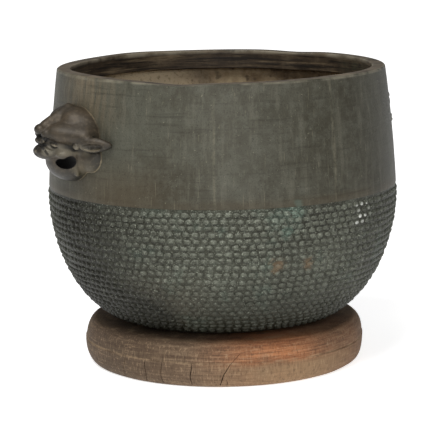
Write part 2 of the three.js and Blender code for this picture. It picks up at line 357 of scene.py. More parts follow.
def plain_bronze():
    """The bowl's plain band: grey-olive patina, mottled, streaked and scratched, with painted light: a
    sheen in the middle, painted shade on the right and a painted rim light on the upper left.
    """
    f = Finish("plain bronze")
    clouds = f.noise(8, 6, 0.6)
    mottle = f.noise(85, 5, 0.75)
    uprights = f.noise(1, 6, 0.7, f.scaled(90, 90, 8))
    wipes = f.noise(1, 5, 0.6, f.scaled(10, 10, 190))
    grain = f.noise(620, 3, 0.6)
    body = f.ramp(clouds, (0.34, tint(50, 47, 36)), (0.5, tint(62, 60, 50)), (0.66, tint(74, 74, 64)))
    body = f.mix(mottle.between(0.4, 0.7) * 0.5, body, tint(86, 86, 76))
    body = f.mix(uprights.between(0.48, 0.68) * 0.4, body, tint(94, 92, 80))
    # Painted sheen: the band is made a little lighter in the middle, where it faces the camera.
    body = f.mix(f.near_angle(-118, 34) * 0.12, body, tint(104, 104, 96))
    # Painted shade: the band is made darker toward its right side.
    body = f.mix(f.near_angle(-42, 40) * 0.45, body, tint(44, 44, 38))
    # Painted rim light: the upper left of the band is made lighter and browner, broken up by the upright
    # streaks.
    upper_left = f.near_angle(-176, 22) * f.z.between(SEAT + 235 * MM, SEAT + 300 * MM)
    body = f.mix(upper_left * uprights.between(0.3, 0.6) * 0.55, body, tint(118, 104, 82))
    body = f.mix(wipes.between(0.54, 0.7) * 0.4, body, tint(40, 37, 29))
    below_mask = f.near_angle(-158, 34) * (1 - f.z.between(SEAT + 190 * MM, SEAT + 245 * MM))
    above_edge = 1 - f.z.between(SEAT + BOSS_GROUND_TOP + 4 * MM, SEAT + BOSS_GROUND_TOP + 16 * MM)
    brown = below_mask.most(above_edge * 0.7) * clouds.between(0.3, 0.5)
    body = f.mix(brown * 0.5, body, tint(64, 51, 32))
    scratches = f.noise(1, 3, 0.5, f.scaled(480, 480, 6)).between(0.65, 0.72)
    body = f.mix(scratches * 0.3, body, tint(114, 110, 92))
    pale_runs = f.near_angle(-126.7, 0.7).most(f.near_angle(-86, 0.9)) * uprights.between(0.4, 0.62)
    body = f.mix(pale_runs * mottle.between(0.35, 0.6) * 0.4, body, tint(112, 108, 90))
    body = f.mix(f.noise(380, 1, 0.5).between(0.72, 0.8) * 0.6, body, tint(118, 116, 98))
    body = f.mix(grain.between(0.52, 0.72) * 0.5, body, tint(34, 31, 24))
    body = f.mix(f.patch(-100, 0.236, 8 * MM) * 0.4, body, tint(84, 100, 90))
    top = SEAT + BOWL_HEIGHT
    worn = f.z.between(top - 3 * MM, top - 0.5 * MM) * f.noise(38, 4).between(0.36, 0.6)
    body = f.mix(worn * 0.6, body, tint(130, 124, 108))
    f.relief(uprights * 0.5 + wipes * 0.8 + mottle * 0.9 + grain * 0.5, 0.6 * MM, 0.8)
    return f.surface(Base_Color=body, Roughness=0.44 + mottle * 0.22, Metallic=0.25, Specular_IOR_Level=0.2)


def boss_ground_bronze(name, is_boss):
    """The studded part: dark, gritty ground with verdigris, and bosses rubbed a little paler; with painted
    highlights on the bosses' upper sides and near-white painted glints on some of their tops, painted shade
    under each boss, at the sides and toward the bottom, and painted glints in the grit.
    """
    f = Finish(name)
    clouds = f.noise(10, 5, 0.62)
    grit = f.noise(560, 4, 0.75)
    coarse = f.noise(110, 5, 0.75)
    height = f.z.between(SEAT + 4 * MM, SEAT + 110 * MM)
    ground = f.ramp(clouds, (0.35, tint(42, 42, 32)), (0.65, tint(60, 61, 50)))
    if is_boss:
        crown = f.attribute("crown")
        tone = f.attribute("tone")
        rubbed = f.ramp(tone, (0.0, tint(66, 67, 57)), (0.5, tint(80, 82, 71)), (1.0, tint(102, 105, 93)))
        upper = f.attribute("upper")
        ground = f.mix(crown.between(0.0, 0.5) * (0.3 + height * 0.6), ground, rubbed)
        # Painted light on each boss: its upper side is made lighter as a painted highlight, and its lower
        # side near black as painted shade under it.
        ground = f.mix(upper.between(0.55, 0.95) * (0.2 + height * 0.4), ground, tint(138, 141, 128))
        ground = f.mix((1 - upper.between(0.12, 0.45)) * 0.9, ground, tint(16, 15, 9))
        # Painted glints: near-white spots on the tops of some bosses on the right, standing for shine.
        painted_glint_spots = f.patch(-75, 0.210, 21 * MM) * crown.between(0.6, 0.85) * tone.between(0.28, 0.46)
        ground = f.mix(painted_glint_spots * 0.85, ground, tint(236, 238, 230))
    ground = f.mix(coarse.between(0.48, 0.68) * (0.1 + height * 0.3), ground, tint(122, 126, 113))
    ground = f.mix((1 - coarse.between(0.32, 0.48)) * 0.4, ground, tint(34, 33, 25))
    ground = f.mix((1 - grit.between(0.38, 0.5)) * 0.5, ground, tint(24, 23, 16))
    green = f.noise(20, 4, 0.6, f.scaled(1, 1, 1, (3, 1, 7))).between(0.55, 0.7) * 0.5
    green = green.most(f.patch(-101, 0.226, 15 * MM)).most(f.patch(-104, 0.203, 12 * MM))
    ground = f.mix(green * grit.between(0.38, 0.56) * 0.6, ground, tint(92, 114, 102))
    rust = f.patch(-106.5, 0.160, 14 * MM).most(f.patch(-95.5, 0.160, 10 * MM))
    rust = rust.most(f.near_angle(-150, 30) * (1 - f.z.between(0.10, 0.17)) * 0.35)
    ground = f.mix(rust * coarse.between(0.36, 0.54) * 0.45, ground, tint(112, 84, 54))
    shade = f.near_angle(-180, 46) * (1.5 - height * 0.5)
    shade = shade.most(f.near_angle(-168, 50) * (1.25 - height) * 1.5)
    shade = shade.most(f.near_angle(-56, 36) * 0.5).most((1 - height) * 0.75)
    ground = f.mix(shade, ground, tint(21, 20, 9))
    glints = grit.between(0.58, 0.66) * (0.3 + height * 0.35)
    ground = f.mix(glints, ground, tint(176, 180, 164))
    f.relief(grit * 0.9 + coarse * 1.2, 0.8 * MM, 0.9)
    return f.surface(Base_Color=ground, Roughness=0.36 + grit * 0.3, Metallic=0.3, Specular_IOR_Level=0.3)


def lip_bronze():
    """The flat of the lip and the band inside it: brown, worn bright along the edge."""
    f = Finish("lip bronze")
    clouds = f.noise(30, 5, 0.65)
    streaks = f.noise(1, 6, 0.7, f.scaled(12, 12, 260))
    body = f.ramp(clouds, (0.3, tint(40, 31, 21)), (0.52, tint(62, 51, 38)), (0.72, tint(90, 78, 61)))
    body = f.mix(streaks.between(0.5, 0.58) * 0.85, body, tint(18, 13, 8))
    body = f.mix((1 - streaks.between(0.34, 0.45)) * 0.6, body, tint(122, 106, 82))
    top = SEAT + BOWL_HEIGHT
    flat = f.z.between(top - 6 * MM, top - 1.5 * MM)
    body = f.mix(flat * f.noise(45, 5, 0.7).between(0.3, 0.62) * 0.7, body, tint(112, 101, 84))
    out = (f.x * f.x + f.y * f.y) ** 0.5
    lip_inside = MOUTH_RADIUS - LIP_WIDTH
    rims = out.between(MOUTH_RADIUS - 4 * MM, MOUTH_RADIUS - 1 * MM)
    rims = rims.most(1 - out.between(lip_inside + 0.5 * MM, lip_inside + 2.5 * MM))
    body = f.mix(flat * rims * f.noise(32, 4).between(0.36, 0.6) * 0.6, body, tint(150, 142, 124))
    green = f.near_angle(-20, 30) * f.noise(24, 4).between(0.4, 0.6)
    body = f.mix(green * 0.5, body, tint(78, 80, 62))
    f.relief(streaks + clouds * 0.5, 0.7 * MM, 0.8)
    return f.surface(Base_Color=body, Roughness=0.5 + clouds * 0.2, Metallic=0.25, Specular_IOR_Level=0.35)


def inside_bronze():
    """The inside wall: tan, ashy dust over dark metal."""
    f = Finish("dusty inside")
    clouds = f.noise(18, 6, 0.65)
    grain = f.noise(240, 4, 0.6)
    spots = f.noise(60, 3, 0.5)
    body = f.ramp(clouds, (0.36, tint(72, 55, 36)), (0.5, tint(126, 107, 81)), (0.64, tint(176, 158, 126)))
    body = f.mix(grain.between(0.5, 0.75) * 0.4, body, tint(156, 144, 124))
    body = f.mix(spots.between(0.58, 0.68) * 0.7, body, tint(44, 33, 22))
    body = f.mix(f.near_angle(130, 30) * clouds.between(0.36, 0.56) * 0.7, body, tint(196, 160, 100))
    body = f.mix(f.near_angle(86, 36) * grain.between(0.2, 0.5) * 0.8, body, tint(226, 208, 176))
    body = f.mix(f.near_angle(24, 34) * 0.4, body, tint(66, 53, 38))
    f.relief(grain + clouds * 0.6, 0.6 * MM, 0.7)
    return f.surface(Base_Color=body, Roughness=0.85, Metallic=0.0)


def mask_bronze():
    """The masks: smooth brown bronze, worn bright along its edges, with painted shade near black in its
    folds and the mouth's hole, painted shade on the ears' lower half and painted light under the brow.
    """
    f = Finish("mask bronze")
    clouds = f.noise(26, 5, 0.65)
    grain = f.noise(260, 4, 0.65)
    hollow = f.attribute("hollow")
    edge = f.attribute("edge")
    soot = f.attribute("soot")
    rim = f.attribute("rim") * clouds.between(0.42, 0.58)
    body = f.ramp(clouds, (0.34, tint(36, 30, 19)), (0.5, tint(52, 44, 32)), (0.66, tint(72, 61, 46)))
    above = f.z.between(SEAT + 246 * MM, SEAT + 276 * MM)
    snout = abs(f.x).between(BELLY_RADIUS + 26 * MM, BELLY_RADIUS + 44 * MM) * (1 - above)
    body = f.mix(snout * 0.75, body, tint(20, 18, 12))
    olive = 1 - f.z.between(SEAT + 205 * MM, SEAT + 240 * MM)
    cheeks = abs(f.y).between(24 * MM, 34 * MM) * 0.45
    body = f.mix(olive * (0.9 - cheeks), body, f.mix(cheeks, tint(24, 22, 13), tint(128, 121, 94)))
    # Painted light: a lighter tint under the brow at the temples, where the brow's shadow falls.
    below_brow = 1 - f.z.between(SEAT + 245 * MM, SEAT + 252 * MM)
    below_brow = below_brow * f.z.between(SEAT + 232 * MM, SEAT + 240 * MM)
    ears = abs(f.y).between(44 * MM, 54 * MM)
    temples = abs(f.y).between(8 * MM, 14 * MM) * (1 - ears)
    body = f.mix(below_brow * temples * 0.4, body, tint(134, 127, 110))
    # Painted shade: the lower half of each ear is made darker.
    below_ears = 1 - f.z.between(SEAT + 246 * MM, SEAT + 252 * MM)
    body = f.mix(ears * below_ears * 0.7, body, tint(22, 20, 12))
    body = f.mix(grain.between(0.5, 0.72) * 0.25, body, tint(112, 101, 83))
    body = f.mix((1 - grain.between(0.34, 0.46)) * 0.25, body, tint(30, 26, 18))
    body = f.mix((edge.between(0.4, 0.9) * 0.45).most(rim * 0.6), body, tint(138, 126, 102))
    # Painted shade: the folds are made near black.
    body = f.mix(hollow.between(0.22, 0.6) * 0.95, body, tint(12, 10, 6))
    # Painted shade: the wall of the mouth's hole is made near black, standing for the dark inside it.
    body = f.mix(soot, body, tint(8, 6, 4))
    f.relief(grain + clouds * 0.5, 0.5 * MM, 0.8)
    rough = 0.4 + clouds * 0.16 + hollow * 0.3 + soot * 0.5
    return f.surface(Base_Color=body, Roughness=rough, Metallic=0.35, Specular_IOR_Level=0.5)


def weathered_wood():
    """The stand: grey weathered wood that is still orange-brown on one side."""
    f = Finish("weathered wood")
    clouds = f.noise(11, 5, 0.6)
    growth = f.noise(1, 6, 0.7, f.scaled(12, 12, 380))
    fibres = f.noise(1, 5, 0.7, f.scaled(50, 50, 1100))
    body = f.ramp(growth, (0.3, tint(80, 62, 46)), (0.5, tint(102, 82, 63)), (0.7, tint(126, 106, 84)))
    body = f.mix(f.near_angle(-176, 56) * 0.7, body, tint(62, 50, 37))
    upper = f.z.between(ARRIS_HEIGHT - 8 * MM, ARRIS_HEIGHT + 3 * MM)
    warm = f.near_angle(-102, 40) * f.noise(14, 4).between(0.24, 0.46) * (0.25 + upper * 0.75)
    body = f.mix(f.near_angle(-60, 32) * 0.35, body, tint(136, 88, 56))
    orange = f.mix(growth.between(0.3, 0.7), tint(128, 74, 42), tint(186, 120, 76))
    body = f.mix(warm * 0.75, body, orange)
    body = f.mix(fibres.between(0.5, 0.72) * 0.5, body, tint(62, 44, 31))
    body = f.mix(clouds.between(0.5, 0.72) * 0.3, body, tint(84, 68, 54))
    lines = f.noise(1, 6, 0.75, f.scaled(34, 34, 520))
    body = f.mix(lines.between(0.53, 0.62) * 0.45, body, tint(62, 46, 33))
    body = f.mix((1 - lines.between(0.36, 0.45)) * 0.35, body, tint(168, 142, 112))
    body = f.mix((1 - upper) * f.near_angle(-92, 48) * 0.6, body, tint(150, 122, 90))
    # Painted highlight: a thin, broken light line along the arris.
    arris = f.z.between(ARRIS_HEIGHT - 1 * MM, ARRIS_HEIGHT + 1 * MM)
    arris = arris * (1 - f.z.between(ARRIS_HEIGHT + 1 * MM, ARRIS_HEIGHT + 3.5 * MM))
    body = f.mix(arris * f.noise(50, 3).between(0.38, 0.6) * 0.4, body, tint(166, 142, 112))
    ticks = f.noise(1, 5, 0.75, f.scaled(420, 420, 110))
    body = f.mix(ticks.between(0.52, 0.64) * 0.5, body, tint(62, 46, 33))
    body = f.mix((1 - ticks.between(0.36, 0.46)) * 0.35, body, tint(166, 142, 112))
    f.relief(growth * 0.9 + lines * 0.8 + ticks * 0.7, 0.9 * MM, 0.9)
    return f.surface(Base_Color=body, Roughness=0.7 + fibres * 0.2, Metallic=0.0, Specular_IOR_Level=0.3)


def pale_floor():
    """A pale studio floor that glows, as painted light that washes out the shadows on it, a little less
    near the stand.
    """
    f = Finish("pale floor")
    body = f.mix(f.noise(3, 3) * 0.5, tint(250, 250, 250), tint(246, 246, 246))
    far = (f.x * f.x + f.y * f.y).between(0.1, 4.0)
    # Painted light: the floor's glow, dimmer near the stand and full white far off.
    glow = f.mix(far, tint(226, 226, 226), tint(255, 255, 255))
    return f.surface(Base_Color=body, Roughness=0.9, Emission_Color=glow, Emission_Strength=0.9)


# The bowl


def wall_radius(height):
    """The radius of the bowl's outside at heights above its underside."""
    height = np.asarray(height, dtype=float)
    below = np.clip(1 - height / BELLY_HEIGHT, 0, 1)
    above = np.clip((height - BELLY_HEIGHT) / (BOWL_HEIGHT - BELLY_HEIGHT), 0, None)
    lower = FOOT_RADIUS + (BELLY_RADIUS - FOOT_RADIUS) * np.sqrt(1 - below**2)
    upper = BELLY_RADIUS - (BELLY_RADIUS - MOUTH_RADIUS) * above**1.5
    return np.where(height < BELLY_HEIGHT, lower, upper)


def outside_points():
    """The outside from the underside's edge to the lip, as (radius, height) rows."""
    turn = np.linspace(0, math.pi / 2, 44)
    lower = BELLY_HEIGHT * (1 - np.cos(turn))
    upper = np.linspace(BELLY_HEIGHT, BOWL_HEIGHT - LIP_ROUNDING, 26)[1:]
    heights = np.concatenate([lower, upper])
    return np.column_stack([wall_radius(heights), heights])


def bowl_profile():
    outside = outside_points()
    ground = outside[outside[:, 1] < BOSS_GROUND_TOP - BOSS_GROUND_DROP] - (BOSS_GROUND_DROP, 0)
    band = outside[outside[:, 1] > BOSS_GROUND_TOP + 1 * MM]
    edge = float(wall_radius(BOSS_GROUND_TOP))
    step = [
        (edge - BOSS_GROUND_DROP, BOSS_GROUND_TOP - 0.6 * MM),
        (edge - 0.3 * MM, BOSS_GROUND_TOP - 0.1 * MM),
        (edge, BOSS_GROUND_TOP + 0.5 * MM),
    ]
    r = LIP_ROUNDING
    lip_inside = MOUTH_RADIUS - LIP_WIDTH
    turns = np.linspace(0, math.pi / 2, 5)
    outer = [(MOUTH_RADIUS - r + r * math.cos(t), BOWL_HEIGHT - r + r * math.sin(t)) for t in turns]
    inner = [(lip_inside + r - r * math.sin(t), BOWL_HEIGHT - r + r * math.cos(t)) for t in turns]
    under_lip = BOWL_HEIGHT - LIP_DEPTH
    lip_side = [(lip_inside + 0.4 * MM, under_lip + h) for h in (19 * MM, 13 * MM, 6 * MM, 1.2 * MM)]
    ledge = [(lip_inside + 1.4 * MM, under_lip), (float(wall_radius(under_lip)) - WALL, under_lip)]
    tangent = np.gradient(outside, axis=0)
    tangent /= np.linalg.norm(tangent, axis=1)[:, None]
    tangent[0] = (1, 0)
    inside = outside + np.column_stack([-tangent[:, 1], tangent[:, 0]]) * WALL
    inside = inside[inside[:, 1] < under_lip - WALL / 2][::-1]
    rings = [(radius, 0.0) for radius in (0, 40 * MM, 80 * MM)]
    floor = [(radius, WALL) for radius in (80 * MM, 40 * MM, 0)]
    return [*rings, *ground, *step, *band, *outer, *inner, *lip_side, *ledge, *inside, *floor]


def lip_wave(angle):
    """How far the worn lip stands above or below its level at angles in radians."""
    total = np.zeros_like(angle)
    for at, rise, spread in LIP_DENTS:
        turn = angle - math.radians(at)
        apart = np.arctan2(np.sin(turn), np.cos(turn)) / math.radians(spread)
        total += rise * MM * np.exp(-(apart**2))
    return total


def unevenness(angle, height):
    """The small hand-made swells of the cast wall, in metres."""
    swell = np.sin(3 * angle + 1.1) * np.sin(height * 21 + 0.7)
    swell += 0.6 * np.sin(7 * angle + 2.9 + height * 30)
    ripple = 0.35 * np.sin(17 * angle - height * 60) * np.sin(height * 90 + 2 * angle)
    return WALL_SWELL * (swell + ripple)


def make_bowl():
    bowl = turned("cast_bowl", [(radius, height + SEAT) for radius, height in bowl_profile()], 200)
    places = corners_of(bowl)
    angle = np.arctan2(places[:, 1], places[:, 0])
    radius = np.hypot(places[:, 0], places[:, 1])
    height = places[:, 2] - SEAT
    rise = np.clip((height - (BOWL_HEIGHT - LIP_DENT_REACH)) / LIP_DENT_REACH, 0, 1)
    fade = rise * rise * (3 - 2 * rise)
    places[:, 2] += fade * lip_wave(angle)
    outer = radius > wall_radius(height) - 3 * MM
    swell = unevenness(angle, height) * outer * (height > 2 * MM)
    grown = (radius + swell) / np.maximum(radius, 1e-6)
    places[:, :2] *= grown[:, None]
    set_corners(bowl, places)
    dress(
        bowl,
        plain_bronze(),
        boss_ground_bronze("studded ground", False),
        lip_bronze(),
        inside_bronze(),
    )
    for face in bowl.data.polygons:
        middle = face.center
        out = math.hypot(middle.x, middle.y)
        height = middle.z - SEAT
        wall = float(wall_radius(min(max(height, 0), BOWL_HEIGHT)))
        if height > BOWL_HEIGHT - LIP_DEPTH - 1 * MM and out < MOUTH_RADIUS - LIP_ROUNDING * 1.1:
            face.material_index = 2
        elif out < wall - 3 * MM and height > 3 * MM:
            face.material_index = 3
        elif height < BOSS_GROUND_TOP:
            face.material_index = 1
    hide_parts("bowl")
    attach(bowl, "root")
    return bowl


# The bosses


def make_one_boss():
    """One closed boss, shaped from a low cone by insets that rise."""
    start_fresh()
    bpy.ops.mesh.primitive_cone_add(vertices=8, radius1=0.5, radius2=0.42, depth=0.36)
    boss = new_piece("boss_pattern")
    boss.location.z = 0.18
    settle(boss)
    bpy.ops.object.mode_set(mode="EDIT")
    bpy.ops.mesh.select_mode(type="FACE")
    bpy.ops.mesh.select_all(action="DESELECT")
    bpy.ops.object.mode_set(mode="OBJECT")
    top = max(boss.data.polygons, key=lambda face: face.center.z)
    top.select = True
    bpy.ops.object.mode_set(mode="EDIT")
    for inwards, upwards in ((0.13, 0.38), (0.15, 0.2)):
        bpy.ops.mesh.inset(thickness=inwards, depth=upwards, use_even_offset=False)
    bpy.ops.mesh.poke(offset=0.05)
    bpy.ops.object.mode_set(mode="OBJECT")
    return boss


def wall_rows():
    """The height of each row of bosses on the wall, from the top row down."""
    heights = np.linspace(0, BOSS_GROUND_TOP, 3000)
    steps = np.hypot(np.diff(heights), np.diff(wall_radius(heights)))
    along = np.concatenate([[0], np.cumsum(steps)])
    at = along[-1] - FIRST_ROW_DROP
    rows = []
    for step in [*ROW_STEPS, 0]:
        rows.append(float(np.interp(at, along, heights)))
        at -= step * MM
    return rows


def boss_seats(chance):
    """For each boss: its foot's middle, the directions round, up and out there, and its row's tone."""
    for number, height in enumerate(wall_rows()):
        radius = float(wall_radius(height)) - BOSS_GROUND_DROP
        ahead = float(wall_radius(height + 0.5 * MM) - wall_radius(max(height - 0.5 * MM, 0)))
        slope = math.atan2(ahead, 1 * MM)
        count = round(2 * math.pi * radius / BOSS_PITCH)
        first = (number % 2) * math.pi / count + chance.uniform(-0.1, 0.1) / count
        row_tone = chance.uniform(-0.06, 0.06)
        for place in range(count):
            angle = first + 2 * math.pi * place / count + chance.gauss(0, 0.25 * MM) / radius
            lift = chance.gauss(0, 0.25 * MM) + 0.7 * MM * math.sin(5 * angle + number * 0.8)
            away = Vector((math.cos(angle), math.sin(angle), 0))
            around = Vector((-away.y, away.x, 0))
            out = away * math.cos(slope) - Vector((0, 0, 1)) * math.sin(slope)
            up = away * math.sin(slope) + Vector((0, 0, 1)) * math.cos(slope)
            swell = float(unevenness(np.array(angle), np.array(height)))
            foot = away * (radius + swell) + Vector((0, 0, SEAT + height)) + up * lift - out * BOSS_SINK
            yield foot, around, up, out, row_tone


def make_bosses():
    """Rows of bosses, each a copy of one, a little different in place, size and rise."""
    pattern = make_one_boss()
    shape = corners_of(pattern)
    faces = [tuple(face.vertices) for face in pattern.data.polygons]
    shape[:, 2] /= shape[:, 2].max()
    chance = random.Random(11)
    places, all_faces, crowns, uppers, tones = [], [], [], [], []
    for foot, around, up, out, row_tone in boss_seats(chance):
        width = BOSS_WIDTH * chance.uniform(0.88, 1.06)
        tall = BOSS_TALL * chance.uniform(0.88, 1.06)
        rise = BOSS_RISE * chance.uniform(0.75, 1.1)
        lean = chance.uniform(-0.25, 0.25)
        first_corner = len(places)
        for x, y, z in shape:
            turn_x = x * math.cos(lean) - y * math.sin(lean)
            turn_y = x * math.sin(lean) + y * math.cos(lean)
            places.append(foot + around * turn_x * width + up * turn_y * tall + out * z * rise)
            crowns.append(z)
            # upper: how high on its boss a corner sits, for the painted highlight above and the painted
            # shade below.
            uppers.append(0.5 + turn_y)
        tone = min(max(chance.gauss(0.42, 0.2) + row_tone, 0), 1)
        tones.extend([tone] * len(shape))
        all_faces.extend(tuple(first_corner + corner for corner in face) for face in faces)
    mesh = bpy.data.meshes.new("boss_rows")
    mesh.from_pydata([tuple(place) for place in places], [], all_faces)
    bosses = bpy.data.objects.new("boss_rows", mesh)
    bpy.context.scene.collection.objects.link(bosses)
    bpy.data.objects.remove(pattern)
    give_attribute(bosses, "crown", crowns)
    give_attribute(bosses, "upper", uppers)
    give_attribute(bosses, "tone", tones)
    dress(bosses, boss_ground_bronze("boss bronze", True))
    take(bosses)
    bpy.ops.object.shade_smooth()
    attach(bosses, "root")
    return bosses


# The lion masks


# Forms in hundredths of the mask's height, as [sideways, up, outward]; each off the middle is a pair.
# An egg has a centre, radii, then roll, pitch and yaw in degrees; a bar has two ends and a radius.
# The last number is how softly a form runs into those before it; a cut is taken out of them.
MASK_FORMS = [
    ("egg", (0, 4, -22), (54, 40, 34), (0, 0, 0), 0),
    ("egg", (22, 20, -3), (34, 21, 25), (-38, 12, 0), 5),
    ("egg", (14, 19, 16), (15, 13, 22), (-30, 25, 10), 8),
    ("bar", (12, 16, 37), (43, 10.5, 12), 8.5, 16),
    ("egg", (0, 25, 17), (15, 14, 27), (0, 35, 0), 5),
    ("bar", (0, 43, 8), (0, 25, 41), 7.5, 6),
    ("egg", (17, 34, 9), (15, 10, 15), (-25, 15, 0), 5),
    ("egg", (0, 21, 49), (8, 7, 8), (0, 0, 0), 3),
    ("egg", (9, 16, 43), (6, 6.5, 9), (0, 10, -10), 2.5),
    ("egg", (0, -1, 24), (26, 17, 23), (0, 0, 0), 3),
    ("egg", (0, 7, 44), (14, 6, 11), (0, 0, 0), 2),
    ("egg", (0, -7, 41), (20, 10.5, 16), (0, 0, 0), 2),
    ("egg", (22, -9, 14), (13, 9, 28), (0, 0, 12), 8),
    ("egg", (0, -20, 3.5), (36, 28.5, 34.5), (0, 0, 0), 6),
    ("egg", (37, -15.5, -8), (20, 20.5, 20), (0, 0, 0), 6),
    ("bar", (32, -12, 19.5), (28, -36, 13.5), 3, 1.5),
    ("cut egg", (17, 2.5, 44), (9, 5.5, 3.5), (-15, 0, 30), 3),
    ("egg", (17, 2, 38.5), (6, 2.6, 4.5), (-15, 0, 30), 1.2),
    ("cut bar", (10, 9, 48), (24, 3, 38), 1.5, 2.5),
    ("cut bar", (24, 3, 38), (43, 0, 19), 1.5, 2.5),
    ("bar", (11, -31, 29), (27, -32, 15), 2, 2),
    ("cut bar", (3, 1, 50), (13, -3, 52), 1.0, 1.5),
    ("cut bar", (13, -3, 52), (18, -11, 47.5), 1.0, 1.5),
    ("cut bar", (0, 13, 52), (0, -16, 56), 1.2, 2),
    ("egg", (57, 3.5, 7), (20, 9.5, 6), (0, 0, 39), 2.5),
    ("egg", (68, 3, -3), (10, 5, 4), (0, 0, 39), 4),
    ("cut egg", (60, 1, 11.5), (14, 4.8, 5.5), (5, 0, 39), 1.5),
    ("bar", (44, 7, 18), (73, 4.5, -6), 2, 2),
    ("egg", (41, 1.5, 21.5), (4.6, 4.6, 4.6), (0, 0, 0), 1),
]


def distance_to_face(places):
    """How far points, in hundredths of the mask's height, are outside the lion's face."""
    points = places.copy()
    points[:, 0] = np.abs(points[:, 0])
    nearest = np.full(len(points), 1e3)
    for kind, *form, blend in MASK_FORMS:
        if kind.endswith("egg"):
            centre, radii, turns = form
            local = (points - centre) @ np.array(egg_turn(*turns).to_3x3())
            reach = local / radii
            far = np.linalg.norm(reach, axis=1)
            away = far * (far - 1) / np.maximum(np.linalg.norm(reach / radii, axis=1), 1e-6)
        else:
            start, end, radius = form
            along = np.subtract(end, start)
            share = np.clip((points - start) @ along / (along @ along), 0, 1)
            away = np.linalg.norm(points - start - share[:, None] * along, axis=1) - radius
        sign = -1 if kind.startswith("cut") else 1
        nearest = sign * nearest
        overlap = np.maximum(blend - np.abs(nearest - away), 0)
        nearest = np.minimum(nearest, away) - overlap**2 / (4 * max(blend, 1e-6))
        nearest = sign * nearest
    return nearest


def slope_of_face(places):
    """The direction straight out of the lion's face at points near it."""
    step = 0.15
    slope = np.empty_like(places)
    for axis in range(3):
        ahead = np.zeros(3)
        ahead[axis] = step
        slope[:, axis] = distance_to_face(places + ahead) - distance_to_face(places - ahead)
    return slope / (2 * step)


def mask_place():
    """From the mask's sideways, up and outward to its place on the -X side, scaled to metres."""
    middle = -float(wall_radius(MASK_CENTRE_HEIGHT))
    basis = Matrix(((0, 0, -1), (-1, 0, 0), (0, 1, 0))).to_4x4()
    seat = Matrix.Translation((middle, 0, SEAT + MASK_CENTRE_HEIGHT))
    return seat @ basis @ Matrix.Scale(MASK_UNIT, 4)


def egg_turn(roll, pitch, yaw):
    return (
        Matrix.Rotation(math.radians(yaw), 4, "Y")
        @ Matrix.Rotation(math.radians(pitch), 4, "X")
        @ Matrix.Rotation(math.radians(roll), 4, "Z")
    )


def add_egg(centre, radii, turns):
    start_fresh()
    bpy.ops.mesh.primitive_uv_sphere_add(segments=40, ring_count=24, radius=1)
    egg = new_piece("egg")
    egg.matrix_world = Matrix.Translation(centre) @ egg_turn(*turns) @ Matrix.Diagonal((*radii, 1))
    settle(egg)
    return egg


def add_bar(start, end, radius):
    start_fresh()
    bpy.ops.mesh.primitive_uv_sphere_add(segments=32, ring_count=20, radius=radius)
    bar = new_piece("bar")
    along = Vector(end) - Vector(start)
    for corner in bar.data.vertices:
        corner.co.z += math.copysign(along.length / 2, corner.co.z) if abs(corner.co.z) > 1e-6 else 0
    turn = along.to_track_quat("Z", "Y").to_matrix().to_4x4()
    bar.matrix_world = Matrix.Translation((Vector(start) + Vector(end)) / 2) @ turn
    settle(bar)
    return bar


def both_sides(form):
    """A form and its mirror image across the face."""
    if abs(sum(corner.co.x for corner in form.data.vertices)) < 1e-2 * len(form.data.vertices):
        return [form]
    twin = form.copy()
    twin.data = form.data.copy()
    bpy.context.scene.collection.objects.link(twin)
    twin.scale.x = -1
    settle(twin)
    bpy.ops.object.mode_set(mode="EDIT")
    bpy.ops.mesh.select_all(action="SELECT")
    bpy.ops.mesh.normals_make_consistent(inside=False)
    bpy.ops.object.mode_set(mode="OBJECT")
    return [form, twin]


def join(name, forms):
    start_fresh()
    for form in forms:
        form.select_set(True)
    bpy.context.view_layer.objects.active = forms[0]
    bpy.ops.object.join()
    return new_piece(name)


def draw_skin_tight(mask, steps):
    """Makes one even skin of a mask's forms and draws it onto the face in a number of steps."""
    finish_with(mask, "REMESH", mode="VOXEL", voxel_size=1.0)
    finish_with(mask, "SMOOTH", factor=0.5, iterations=4)
    places = corners_of(mask)
    for _ in range(steps):
        slope = slope_of_face(places)
        steep = np.maximum((slope**2).sum(axis=1), 0.25)
        places -= 0.7 * (distance_to_face(places) / steep)[:, None] * slope
    set_corners(mask, places)


def mark_hole_and_rim(mask):
    """Marks the wall of the mouth's hole, for painted shade, and the rim next to the bowl, for wear."""
    places = corners_of(mask)
    out = -places[:, 0] - float(wall_radius(MASK_CENTRE_HEIGHT)) - TUNNEL_REACH
    up = places[:, 2] - SEAT - MASK_CENTRE_HEIGHT - TUNNEL_RISE
    inside = np.hypot(out / (TUNNEL_WIDTH / 2), up / (TUNNEL_HEIGHT / 2))
    give_attribute(mask, "soot", np.where(inside < 1.03, 1.0, 0.0))
    from_wall = np.hypot(places[:, 0], places[:, 1]) - wall_radius(places[:, 2] - SEAT)
    give_attribute(mask, "rim", np.where(from_wall < 2 * MM, 1.0, 0.0))


def make_mask():
    makers = {"egg": add_egg, "bar": add_bar}
    forms = [makers[kind](*form) for kind, *form, blend in MASK_FORMS if kind in makers]
    mask = join("mask_left", [half for form in forms for half in both_sides(form)])
    draw_skin_tight(mask, 8)
    draw_skin_tight(mask, 5)  # evens the skin where the cuts stretched it
    places = corners_of(mask)
    hollow = closeness(places, 1)
    edge = closeness(places, -1)
    finish_with(mask, "SMOOTH", factor=0.4, iterations=2)
    give_attribute(mask, "hollow", hollow)
    give_attribute(mask, "edge", edge)
    mask.matrix_world = mask_place()
    settle(mask)
    cut_away(mask, mouth_tunnel())
    cut_away(mask, bowl_space())
    mark_hole_and_rim(mask)
    dress(mask, mask_bronze())
    take(mask)
    bpy.ops.object.shade_smooth_by_angle(angle=math.radians(50))
    return mask


